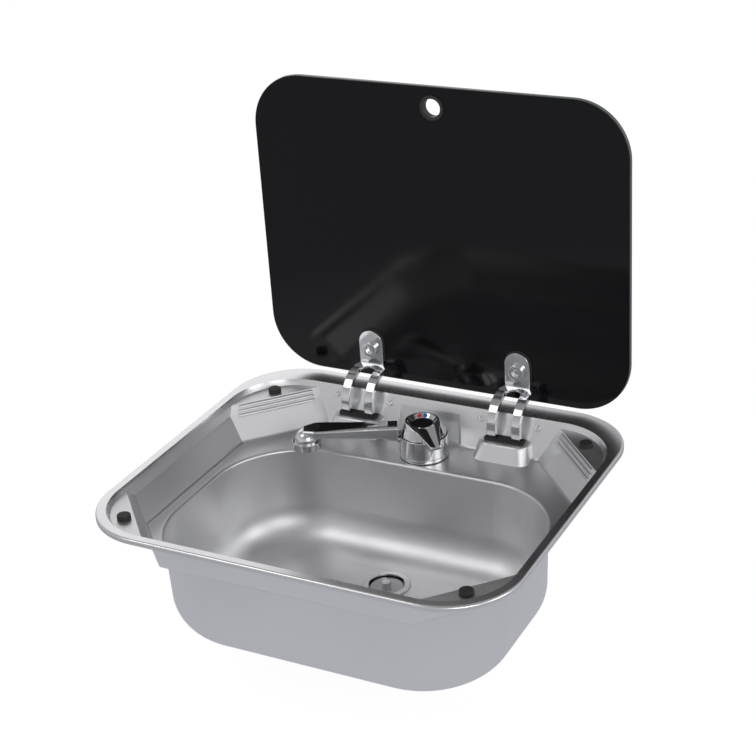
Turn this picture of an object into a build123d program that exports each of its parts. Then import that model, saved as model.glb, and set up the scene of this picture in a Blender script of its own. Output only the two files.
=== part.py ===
"""Drop-in caravan sink with a hinged glass lid and a fold-flat mixer tap.

Millimetres, +Z up.  The origin is the centre of the rim at the height of its
flat top face; +Y points to the hinges and the tap, +X to the right.  The
pieces stand as photographed: lid open, spout over the bowl.
"""
import os
from math import atan2, cos, degrees, hypot, radians, sin, tan

from build123d import *

# ---------------------------------------------------------------- sizes, mm
# pressed steel sink
SHEET = 0.8                       # sheet thickness
RIM_W, RIM_D, RIM_R = 420.0, 370.0, 70.0
RIM_BAND, RIM_BAND_REAR = 9.0, 27.5   # flat band of the rim: front and sides, rear
RIM_LIP = 4.8                     # height of the turned-down edge
RIM_ROLL = 2.4                    # its outer rounding
SEAL_IN = 7.8                     # rim seal: inner edge to the rim's outer edge
RECESS_R = 63.0                   # corner of the recess at the rim
LEDGE_Z, LEDGE_R = -5.5, 61.0     # corner ledges that carry the bumpers
LEDGE_SIDE_IN, LEDGE_FRONT_IN = 3.2, 2.6      # how far the recess walls close in above them
CORNER_DIR = 42.7                 # direction of the ledge edges' normals, degrees
CORNER_CUT = 50.8                 # ledge edges, in from the recess' square corners
CREASE_Z, TRAY_Z = -14.0, -38.0   # crease in the walls; shelf of the tray
SIDE_CREASE_IN, SIDE_FOOT_IN = 1.5, 18.3      # walls, inside their ledge line
FRONT_CREASE_IN, FRONT_FOOT_IN = 4.9, 9.9
CUT_REAR_CREASE_IN, CUT_REAR_FOOT_IN = 5.8, 23.1
CUT_FRONT_CREASE_IN, CUT_FRONT_FOOT_IN = 7.8, 13.3
REAR_IN = 16.5                    # the rear wall leans back as one plane, rim to shelf
TRAY_BEND = 4.0                   # inside bend where the walls meet the shelf
BEAD_R, BEAD_OUT, BEAD_END = 2.2, 1.0, 8.0    # pressed beads on the rear corner walls
BEAD_Z = (-7.9, -11.7, -15.4)
DISH_TOP_Z, DISH_BACK = -8.5, 3.0 # rear wall between the hinges, set back at its foot
DISH_TOP_IN, DISH_FOOT_IN, DISH_R = (39.0, 50.0), (44.0, 47.0), 5.0   # from the hinges
BOWL_LEFT, BOWL_RIGHT = 11.5, 3.5         # shelf beside the bowl
BOWL_AHEAD, BOWL_BEHIND = 10.5, 54.0      # shelf before and behind it
BOWL_R, BOWL_DRAFT = 85.0, 2.0
BOWL_FLOOR_Z, BOWL_FLOOR_R = -136.2, 38.0
BOWL_EDGE_R = 3.0

# hinges: two goosenecks that slide through slots in raised pods
HINGE_IN, PIVOT_IN = 129.0, 16.1  # hinge and pivot, in from the rim's side and rear edges
PIVOT_Z = -12.0
PIN_D, PIN_FIT = 5.0, 0.05        # pin, and its radial play in the barrel
BARREL_R = 4.0
NECK_R, NECK_W, NECK_T = 28.0, 9.0, 5.0
STRAP_T = 2.5                     # plate and tab
NECK_GAP = 17.0                   # clear width between the two necks of a hinge
NECK_TOP, NECK_END = 86.0, -56.0  # ends of the arc, degrees above the pivot
TAB_W, TAB_LEN = 26.0, 37.7
BEND_UP = 31.0                    # bend line above the pivot
ARCH_BACK = 2.0                   # centre of the arch, before the necks' top
POD_TOP_Z, POD_W, POD_LEAD = -22.0, 52.0, 11.7   # lead: slot to the pod's front edge
POD_SPREAD_X, POD_SPREAD_Y = 4.0, 9.0
POD_R, POD_EDGE_R = 12.0, 3.2
GASKET_RIM, GASKET_LIP, GASKET_T = 1.6, 1.0, 2.0
GASKET_REAR_RIM, GASKET_REAR_LIP = 0.8, 0.4
WINDOW_FIT = 0.5                  # necks to the gasket's windows
PLATE_T, PLATE_L, PLATE_H = 2.0, 76.0, 8.5   # hinge bracket behind the rear wall
CHEEK_T, CHEEK_FIT = 3.0, 0.3
RIVET_D, RIVET_T = 7.4, 1.2
SCREW_SPAN, SCREW_DOWN = 61.0, 3.1
SCREW_D, SCREW_HEAD_D, SCREW_HEAD_H = 4.0, 6.0, 2.0
SCREW_FIT = 0.15

# glass lid
GLASS_SIDE_IN, GLASS_FRONT_IN = 13.0, 22.7   # shut lid, in from the rim's outer edges
GLASS_T, GLASS_R = 5.0, 55.0
GLASS_LOW_Z = 5.3                 # lower edge of the open lid
GLASS_EDGE = 0.6
CLOSED_Z = -0.5                   # underside of the closed lid
LID_REST_GAP = 0.2                # closed lid to bumpers
CLAMP_UP = 31.7                   # clamp hole above the lid's lower edge
CLAMP_D, CLAMP_HEAD_D, CLAMP_HEAD_H = 6.0, 16.5, 4.5
CLAMP_SOCKET_AF, CLAMP_SOCKET_H = 6.9, 3.2
CLAMP_BUSH_T = 1.0
CAP_D, CAP_H, CAP_WASHER_T = 24.0, 4.5, 0.8
PAD_T, PAD_LIP = 1.0, 1.6
FINGER_DOWN, FINGER_D = 20.7, 18.0
GROMMET_T, GROMMET_LIP, GROMMET_LIP_T = 1.45, 1.8, 1.2
GROMMET_FIT = 0.05

# bumpers on the ledges
BUMPER_IN_X, BUMPER_IN_Y = 29.8, 28.45       # in from the recess' straight sides
BUMPER_D, BUMPER_STEM_D, BUMPER_FOOT_D, BUMPER_FOOT_H = 13.0, 6.0, 9.0, 2.6

# mixer tap
TAP_RIGHT, TAP_AHEAD = 1.5, 25.5   # beside the bowl's centre line; before the rear wall's foot
TAP_D, TAP_TOP_Z = 49.0, -14.0
TAP_BASE_H, TAP_GASKET_T = 3.5, 0.8
TAP_WASHER_D, TAP_WASHER_T, TAP_NUT_D, TAP_NUT_H = 46.0, 2.0, 42.0, 8.0
CORE_D, CORE_TOP_Z = 38.0, -17.0
SWIVEL_FIT = 0.05
SHANK_D, SHANK_LEN = 32.0, 44.0
SHANK_HOLE_FIT = 1.0
CARTRIDGE_D, CARTRIDGE_H, CARTRIDGE_RING_T = 27.0, 14.0, 2.0
SPINDLE_D, SPINDLE_FIT, SPINDLE_DEEP = 9.0, 0.05, 8.0
SPOUT_DIR, SPOUT_REACH = 206.0, 116.0
SPOUT_TOP_Z, SPOUT_R, SPOUT_WIDE_R = -2.5, 3.4, 2.0
SPOUT_ROOT = (18.0, 17.5)         # width and height of the arm at the tap,
SPOUT_MID_AT, SPOUT_MID = 45.0, (18.0, 13.0)       # where its belly ends,
SPOUT_WIDE_IN, SPOUT_WIDE = 8.0, (22.5, 8.5)       # at its widest, before the nozzle,
SPOUT_NOSE_OUT, SPOUT_NOSE = 3.0, (14.0, 5.0)      # and where it runs into the nozzle
SPOUT_OFF = 0.8                   # arm to the side of the tap body
SPOUT_BORE, WAY_Z, NOZZLE_BORE = 4.0, -7.5, 12.0
NOZZLE_D, NOZZLE_Z, NOZZLE_CUT_Z = 24.0, -15.5, -16.0
AERATOR_D, AERATOR_NECK_D, AERATOR_NECK_H, AERATOR_BOTTOM_Z = 29.0, 18.0, 4.0, -24.5
LEAF_FROM, LEAF_END, LEAF_W = 45.0, 9.0, 19.0      # black inlay on the spout
ORING_T, ORING_FIT = 2.0, 0.03
LEVER_DIR = 316.0
LEVER_BASE_D, LEVER_TOP_D, LEVER_TOP_Z = 46.0, 34.0, -1.2
LEVER_LEAN = 3.0                  # the crown sits this far behind the axis
LEVER_GAP = 0.6                   # lever to the tap body
LEVER_REACH, LEVER_TIP_W, LEVER_TIP_TOP_Z, LEVER_TIP_Z = 34.0, 10.0, -13.5, -18.5
LEVER_FACE_X, LEVER_FACE_Z = 2.0, -1.0            # top of its slanted front face
GROOVE_W, GROOVE_H, GROOVE_TIP_W, GROOVE_TIP_H = 18.0, 2.5, 7.0, 1.2   # along that face
LEVER_HOLLOW_D, LEVER_DISC_D, LEVER_HOLLOW_H = 30.0, 22.0, 3.5
MARK_D, MARK_T, MARK_AT = 4.2, 0.5, 13.0
LEVER_LIFT = 18.0                 # lift of the lever, degrees
LEVER_PIN_BACK, LEVER_PIN_D, LEVER_PIN_L, LEVER_PIN_Z = 6.0, 3.0, 24.0, -10.5
YOKE_W, YOKE_FIT, YOKE_R, YOKE_FRONT, YOKE_TOP_Z = 12.0, 0.3, 3.5, 6.0, -7.0
INLAY_T = 0.6
TAIL_D, TAIL_BORE, TAIL_SPREAD, TAIL_LEN = 10.0, 7.0, 18.0, 90.0
TAIL_END_D, TAIL_IN = 9.0, 24.0    # reduced end that goes into the body

# waste
DRAIN_AHEAD = 66.0                # before the bowl's rear edge
WASTE_D, WASTE_T = 48.0, 1.5
CUP_D, CUP_T, CUP_DEPTH = 36.0, 1.5, 14.0
SEAT_DEPTH, SEAT_T, SEAT_BORE = 4.5, 1.5, 27.0
WASTE_FIT = 0.1
WASTE_GASKET_T, TRAP_RIM_D, TRAP_RIM_H, TRAP_T, TRAP_DEPTH = 2.0, 56.0, 5.0, 2.5, 24.0
TRAP_GAP = 1.0                    # strainer cup to the trap body
SPIGOT_D, SPIGOT_NECK_D, SPIGOT_BORE, SPIGOT_LEN = 25.0, 22.0, 19.0, 28.0
STRAINER_SLOTS, STRAINER_SLOT_W = 8, 3.0
DRAIN_SCREW_D, DRAIN_SCREW_HEAD_D, DRAIN_SCREW_HEAD_H = 6.0, 10.0, 2.5
WEB_W, WEB_H = 4.0, 8.0
PLUG_D, PLUG_T, PLUG_KNOB_D, PLUG_KNOB_H, PLUG_SEAL_T = 33.0, 2.0, 9.0, 6.0, 1.5

# ---------------------------------------------------------------- helpers
CN, SN = cos(radians(CORNER_DIR)), sin(radians(CORNER_DIR))
NODES = {}


def keep(name, shape):
    """File a finished piece under its node name."""
    NODES[name] = shape


def ring(outer_d, inner_d, height, where):
    """Plain ring standing on `where`."""
    body = Cylinder(outer_d / 2, height, align=(Align.CENTER, Align.CENTER, Align.MIN))
    hole = Cylinder(inner_d / 2, height, align=(Align.CENTER, Align.CENTER, Align.MIN))
    return where * (body - hole)


def disc(d, height, where):
    return where * Cylinder(d / 2, height, align=(Align.CENTER, Align.CENTER, Align.MIN))


def rounded(w, d, r, z, cx=0.0, cy=0.0):
    return Pos(cx, cy, z) * RectangleRounded(w, d, r)


# ---------------------------------------------------------------- the pressed sink
INNER_W, INNER_D = RIM_W - 2 * RIM_BAND, RIM_D - RIM_BAND - RIM_BAND_REAR
RECESS_FRONT, RECESS_REAR = RIM_BAND - RIM_D / 2, RIM_D / 2 - RIM_BAND_REAR
MID_Y = (RECESS_FRONT + RECESS_REAR) / 2          # the corners are equal about this line
LEDGE_X, LEDGE_FRONT = INNER_W / 2 - LEDGE_SIDE_IN, RECESS_FRONT + LEDGE_FRONT_IN
LEDGE_CUT = CN * INNER_W / 2 + SN * INNER_D / 2 - CORNER_CUT
REAR_RUN = -REAR_IN / TRAY_Z                      # rear wall: forward per mm of drop
REAR_COS = 1 / hypot(1, REAR_RUN)
SIDE_FOOT, REAR_FOOT = LEDGE_X - SIDE_FOOT_IN, RECESS_REAR - REAR_IN
BOWL_X = (BOWL_LEFT - BOWL_RIGHT) / 2
BOWL_W = 2 * SIDE_FOOT - BOWL_LEFT - BOWL_RIGHT
BOWL_FRONT, BOWL_REAR = LEDGE_FRONT + FRONT_FOOT_IN + BOWL_AHEAD, REAR_FOOT - BOWL_BEHIND
HINGE_X, PIVOT_Y = RIM_W / 2 - HINGE_IN, RIM_D / 2 - PIVOT_IN


def line(z, z0, v0, z1, v1):
    """Value at height z on the straight wall from (z0, v0) to (z1, v1)."""
    return v0 + (v1 - v0) * (z - z0) / (z1 - z0)


def skin(o, drop, run):
    """Sideways shift that gives a leaning wall the normal thickness o."""
    return o * hypot(1.0, run / drop)


def rear_y(z, o=0.0):
    """The rear wall at height z, o behind its face."""
    return RECESS_REAR + z * REAR_RUN + skin(o, -TRAY_Z, REAR_IN)


def wall(z, ledge, crease_in, foot_in, o):
    """Distance of a creased wall at height z, o behind its face."""
    low = skin(o, CREASE_Z - TRAY_Z, foot_in - crease_in)
    if z >= CREASE_Z:
        high = skin(o, LEDGE_Z - CREASE_Z, crease_in)
        return line(z, LEDGE_Z, ledge + high, CREASE_Z, ledge - crease_in + low)
    return line(z, CREASE_Z, ledge - crease_in, TRAY_Z, ledge - foot_in) + low


def cut_rear(z, o=0.0):
    return wall(z, LEDGE_CUT, CUT_REAR_CREASE_IN, CUT_REAR_FOOT_IN, o)


def octagon(z, o=0.0):
    """Tray outline at height z; o thickens every wall outwards."""
    side = wall(z, LEDGE_X, SIDE_CREASE_IN, SIDE_FOOT_IN, o)
    rear = rear_y(z, o) - MID_Y
    front = MID_Y + wall(z, -LEDGE_FRONT, FRONT_CREASE_IN, FRONT_FOOT_IN, o)
    cut_r = cut_rear(z, o)
    cut_f = wall(z, LEDGE_CUT, CUT_FRONT_CREASE_IN, CUT_FRONT_FOOT_IN, o)
    pts = [(side, (cut_r - CN * side) / SN), ((cut_r - SN * rear) / CN, rear)]
    pts += [(-x, y) for x, y in reversed(pts)]
    low = [(-side, -(cut_f - CN * side) / SN), (-(cut_f - SN * front) / CN, -front)]
    low += [(-x, y) for x, y in reversed(low)]
    return Pos(0, MID_Y, z) * make_face(Polyline(*(pts + low), close=True))


def cavity(o, above):
    """Everything inside the steel (o = 0) or inside its outer face (o = SHEET)."""
    def recess_at(z, o):
        f = z / LEDGE_Z
        side = INNER_W / 2 - f * LEDGE_SIDE_IN + o
        front = RECESS_FRONT + f * LEDGE_FRONT_IN - skin(o, -LEDGE_Z, LEDGE_FRONT_IN)
        rear = rear_y(z, o)
        return rounded(2 * side, rear - front, RECESS_R + f * (LEDGE_R - RECESS_R) + o, z,
                       0, (front + rear) / 2)
    body = loft([recess_at(above, o), recess_at(LEDGE_Z - o, o)], ruled=True)
    body += loft([octagon(LEDGE_Z - o, o), octagon(CREASE_Z, o)], ruled=True)
    tray = loft([octagon(CREASE_Z - 1e-6, o), octagon(TRAY_Z - o, o)], ruled=True)
    tray = fillet(tray.faces().sort_by(Axis.Z)[0].edges(), TRAY_BEND + o)
    body += tray
    start = TRAY_Z + 1.0
    depth = start - (BOWL_FLOOR_Z - o)
    bowl = extrude(rounded(BOWL_W + 2 * o, BOWL_REAR - BOWL_FRONT + 2 * o, BOWL_R + o, start,
                           BOWL_X, (BOWL_FRONT + BOWL_REAR) / 2), -depth, taper=BOWL_DRAFT)
    bowl = fillet(bowl.faces().sort_by(Axis.Z)[0].edges(), BOWL_FLOOR_R + o)
    return body + bowl


def bead(sx, z, r):
    """Rod with round ends along a rear corner wall, its axis behind the wall's face."""
    slope = (cut_rear(z + 1) - cut_rear(z - 1)) / 2
    back = (BEAD_R - BEAD_OUT) / hypot(1, slope)
    at_z, cut = z - slope * back, cut_rear(z) + back
    x0 = (cut - SN * (rear_y(z) - MID_Y)) / CN
    y1 = MID_Y + (cut - CN * wall(z, LEDGE_X, SIDE_CREASE_IN, SIDE_FOOT_IN, 0)) / SN
    x1 = wall(z, LEDGE_X, SIDE_CREASE_IN, SIDE_FOOT_IN, 0)
    y0 = rear_y(z)
    length = hypot(x1 - x0, y1 - y0) - 2 * BEAD_END
    mid = Pos(sx * (x0 + x1) / 2, (y0 + y1) / 2, at_z) * Rot(0, 0, sx * degrees(atan2(y1 - y0, x1 - x0)))
    rod_x = mid * Rot(0, 90, 0) * Cylinder(r, length)
    return rod_x + mid * Pos(length / 2, 0, 0) * Sphere(r) + mid * Pos(-length / 2, 0, 0) * Sphere(r)


def dish(o):
    """Shallow hollow in the rear wall between the hinges, o larger all round."""
    def at(z, into, back):
        y = rear_y(z) + back + skin(o, -TRAY_Z, REAR_IN - DISH_BACK)
        left, right = into[0] - HINGE_X - o, HINGE_X - into[1] + o
        return Pos((left + right) / 2, y - DISH_R - 3, z) * Rectangle(right - left, 2 * DISH_R + 6)
    block = loft([at(TRAY_Z - o, DISH_FOOT_IN, DISH_BACK), at(DISH_TOP_Z, DISH_TOP_IN, 0.2)], ruled=True)
    upright = ShapeList(e for e in block.edges() if abs((e % 0.5).Z) > 0.1)
    block = fillet(upright.sort_by(Axis.Y)[-2:], DISH_R + o)
    foot = block.faces().sort_by(Axis.Z)[0].edges().sort_by(Axis.Y)
    return fillet(foot[1:], TRAY_BEND + o)


def pod(sx, o):
    """Raised block under a slot; o = -SHEET gives the hollow inside it."""
    def at(z, spread_x, spread_y):
        front, back = SLOT_Y - POD_LEAD - spread_y - o, POD_BACK_Y + o
        return rounded(POD_W + 2 * spread_x + 2 * o, back - front, POD_R + o, z,
                       sx * HINGE_X, (front + back) / 2)
    deep = 1.0                      # a little below the shelf, so that it cuts through
    f = (POD_TOP_Z - TRAY_Z + deep) / (POD_TOP_Z - TRAY_Z)
    block = loft([at(TRAY_Z - deep, f * POD_SPREAD_X, f * POD_SPREAD_Y), at(POD_TOP_Z + o, 0, 0)],
                 ruled=True)
    return fillet(block.faces().sort_by(Axis.Z)[-1].edges(), POD_EDGE_R + o)


SLOT_Y = PIVOT_Y - (NECK_R ** 2 - (POD_TOP_Z - PIVOT_Z) ** 2) ** 0.5
POD_BACK_Y = PIVOT_Y + 4.0


def on_rear_wall(x, down, off):
    """Location on the rear wall below the pivot; off runs out behind the wall."""
    n_y, n_z = REAR_COS, -REAR_RUN * REAR_COS
    d_y, d_z = REAR_RUN * REAR_COS, REAR_COS
    to_wall = (PIVOT_Y - rear_y(PIVOT_Z)) * REAR_COS
    y = PIVOT_Y - n_y * to_wall - d_y * down + n_y * off
    z = PIVOT_Z - n_z * to_wall - d_z * down + n_z * off
    return Location(Plane(origin=(x, y, z), x_dir=(1, 0, 0), z_dir=(0, n_y, n_z)))


def neck_y(r, z):
    """Where a circle about the pivot crosses height z, on the tray's side."""
    return PIVOT_Y - (r ** 2 - (z - PIVOT_Z) ** 2) ** 0.5


WALL_TO_PIVOT = (PIVOT_Y - rear_y(PIVOT_Z)) * REAR_COS
HINGE_W = NECK_GAP + 2 * NECK_W
WINDOW = (neck_y(NECK_R + NECK_T / 2, POD_TOP_Z + GASKET_T) - WINDOW_FIT,
          neck_y(NECK_R - NECK_T / 2, POD_TOP_Z - SHEET) + WINDOW_FIT)
SLOT = (WINDOW[0] - GASKET_RIM, WINDOW[1] + GASKET_REAR_RIM)
LIP = (SLOT[0] - GASKET_LIP, SLOT[1] + GASKET_REAR_LIP)
SLOT_MID, SLOT_W = sum(SLOT) / 2, SLOT[1] - SLOT[0]
SLOT_L = HINGE_W + 2 * (WINDOW_FIT + GASKET_RIM)
TAP_AT = Pos(BOWL_X + TAP_RIGHT, REAR_FOOT - TAP_AHEAD, 0)
DRAIN_AT = Pos(BOWL_X, BOWL_REAR - DRAIN_AHEAD, 0)
BUMPERS = [(sx * (INNER_W / 2 - BUMPER_IN_X), MID_Y + sy * (INNER_D / 2 - BUMPER_IN_Y))
           for sx in (-1, 1) for sy in (-1, 1)]
CUP_OUT = CUP_D + 2 * CUP_T

rim = extrude(rounded(RIM_W, RIM_D, RIM_R, 0), -RIM_LIP)
rim = fillet(rim.faces().sort_by(Axis.Z)[-1].edges(), RIM_ROLL)
under = extrude(rounded(RIM_W - 2 * SHEET, RIM_D - 2 * SHEET, RIM_R - SHEET, -SHEET), -RIM_LIP)
under = fillet(under.faces().sort_by(Axis.Z)[-1].edges(), RIM_ROLL - SHEET)
outside = cavity(SHEET, 0.0) + dish(SHEET)
inside = cavity(0.0, 1.0) + dish(0.0)
for sx in (-1, 1):
    outside -= pod(sx, -SHEET)
    inside -= pod(sx, 0.0)
    for z in BEAD_Z:
        outside -= bead(sx, z, BEAD_R - SHEET)
        inside -= bead(sx, z, BEAD_R)
shell = (rim - under) + outside - inside
edge = [e for e in shell.edges() if abs(e.center().Z - TRAY_Z) < 0.05
        and abs(e.center().X - BOWL_X) <= BOWL_W / 2 + 1
        and BOWL_FRONT - 1 <= e.center().Y <= BOWL_REAR + 1]
shell = fillet(edge, BOWL_EDGE_R)
for sx in (-1, 1):
    shell -= Pos(sx * HINGE_X, SLOT_MID, POD_TOP_Z) * Box(SLOT_L, SLOT_W, 4 * SHEET)
    for side in (-1, 1):
        at = on_rear_wall(sx * HINGE_X + side * SCREW_SPAN / 2, SCREW_DOWN, -SHEET)
        shell -= disc(SCREW_D + 2 * SCREW_FIT, 3 * SHEET, at)
for x, y in BUMPERS:
    shell -= Pos(x, y, LEDGE_Z - SHEET / 2) * Cylinder(BUMPER_STEM_D / 2, 3 * SHEET)
shell -= TAP_AT * Pos(0, 0, TRAY_Z) * Cylinder(SHANK_D / 2 + SHANK_HOLE_FIT, 4 * SHEET)
shell -= DRAIN_AT * Pos(0, 0, BOWL_FLOOR_Z) * Cylinder(CUP_OUT / 2 + WASTE_FIT, 4 * SHEET)
keep("sink_shell", shell)

outer = rounded(RIM_W - 2 * RIM_ROLL, RIM_D - 2 * RIM_ROLL, RIM_R - RIM_ROLL, -SHEET)
inner = rounded(RIM_W - 2 * SEAL_IN, RIM_D - 2 * SEAL_IN, RIM_R - SEAL_IN, -SHEET)
keep("rim_seal", extrude(outer - inner, -(RIM_LIP - SHEET)))

# ---------------------------------------------------------------- bumpers
bumpers = []
for x, y in BUMPERS:
    top = CLOSED_Z - LID_REST_GAP
    body = disc(BUMPER_D, top - LEDGE_Z, Pos(x, y, LEDGE_Z))
    body = fillet(body.faces().sort_by(Axis.Z)[-1].edges(), 1.2)
    body += disc(BUMPER_STEM_D, SHEET, Pos(x, y, LEDGE_Z - SHEET))
    foot = Pos(x, y, LEDGE_Z - SHEET - BUMPER_FOOT_H) * Cone(
        BUMPER_STEM_D / 2, BUMPER_FOOT_D / 2, BUMPER_FOOT_H,
        align=(Align.CENTER, Align.CENTER, Align.MIN))
    bumpers.append(body + foot)
keep("lid_bumpers", Compound(children=bumpers))

# ---------------------------------------------------------------- glass lid
GLASS_Y = PIVOT_Y - PIVOT_Z + CLOSED_Z      # its tray-side face while it stands open
GLASS_W = RIM_W - 2 * GLASS_SIDE_IN
GLASS_H = PIVOT_Y + PIVOT_Z - GLASS_LOW_Z + RIM_D / 2 - GLASS_FRONT_IN
FACE = Location(Plane(origin=(0, GLASS_Y, 0), x_dir=(1, 0, 0), z_dir=(0, -1, 0)))
CLAMP_Z = GLASS_LOW_Z + CLAMP_UP
FINGER_AT = FACE * Pos(0, GLASS_LOW_Z + GLASS_H - FINGER_DOWN)
SLEEVE_D = FINGER_D + 2 * GROMMET_T
BUSH_D = CLAMP_D + 2 * CLAMP_BUSH_T

glass = extrude(FACE * Pos(0, GLASS_LOW_Z + GLASS_H / 2)
                * RectangleRounded(GLASS_W, GLASS_H, GLASS_R), -GLASS_T)
glass = chamfer(glass.faces().sort_by(Axis.Y)[0].edges()
                + glass.faces().sort_by(Axis.Y)[-1].edges(), GLASS_EDGE)
glass -= disc(SLEEVE_D + 2 * GROMMET_FIT, GLASS_T, FINGER_AT * Pos(0, 0, -GLASS_T))
for sx in (-1, 1):
    glass -= disc(BUSH_D, GLASS_T, FACE * Pos(sx * HINGE_X, CLAMP_Z, -GLASS_T))
keep("glass_lid", glass)

lip_d = SLEEVE_D + 2 * GROMMET_LIP
grommet = ring(SLEEVE_D, FINGER_D, GLASS_T, FINGER_AT * Pos(0, 0, -GLASS_T))
grommet += ring(lip_d, FINGER_D, GROMMET_LIP_T, FINGER_AT)
grommet += ring(lip_d, FINGER_D, GROMMET_LIP_T, FINGER_AT * Pos(0, 0, -GLASS_T - GROMMET_LIP_T))
keep("finger_grommet", grommet)


# ---------------------------------------------------------------- hinges
def neck_point(r, angle):
    """Point (y, z) at radius r about the pivot, angle above the tray side."""
    a = radians(angle)
    return PIVOT_Y - r * cos(a), PIVOT_Z + r * sin(a)


def neck_profile():
    """Side view of one neck: the arc and the link from its end to the barrel."""
    mid = (NECK_TOP + NECK_END) / 2
    out, inn = NECK_R + NECK_T / 2, NECK_R - NECK_T / 2
    arc = make_face([
        ThreePointArc(*(neck_point(out, a) for a in (NECK_END, mid, NECK_TOP))),
        Line(neck_point(out, NECK_TOP), neck_point(inn, NECK_TOP)),
        ThreePointArc(*(neck_point(inn, a) for a in (NECK_TOP, mid, NECK_END))),
        Line(neck_point(inn, NECK_END), neck_point(out, NECK_END))])
    link_mid = neck_point(out / 2, NECK_END)
    link = Pos(*link_mid) * Rot(0, 0, -NECK_END) * Rectangle(out, NECK_T)
    return arc + link


def strap(x, w, profile):
    """Side view `profile` (y, z) as a strap of width w centred on x."""
    return extrude(Location(Plane(origin=(x - w / 2, 0, 0), x_dir=(0, 1, 0), z_dir=(1, 0, 0)))
                   * profile, w)


def rod(x, w, d, y, z):
    """Round bar of diameter d and length w along X, centred on x."""
    return Pos(x, y, z) * Rot(0, 90, 0) * Cylinder(d / 2, w)


def tab_face(z_low, grow):
    """Front view of a hinge tab with its round top, `grow` larger all round."""
    round_z = PIVOT_Z + BEND_UP + TAB_LEN - TAB_W / 2
    w = TAB_W + 2 * grow
    return (Pos(0, (z_low + round_z) / 2) * Rectangle(w, round_z - z_low)
            + Pos(0, round_z) * Circle(w / 2))


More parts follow.
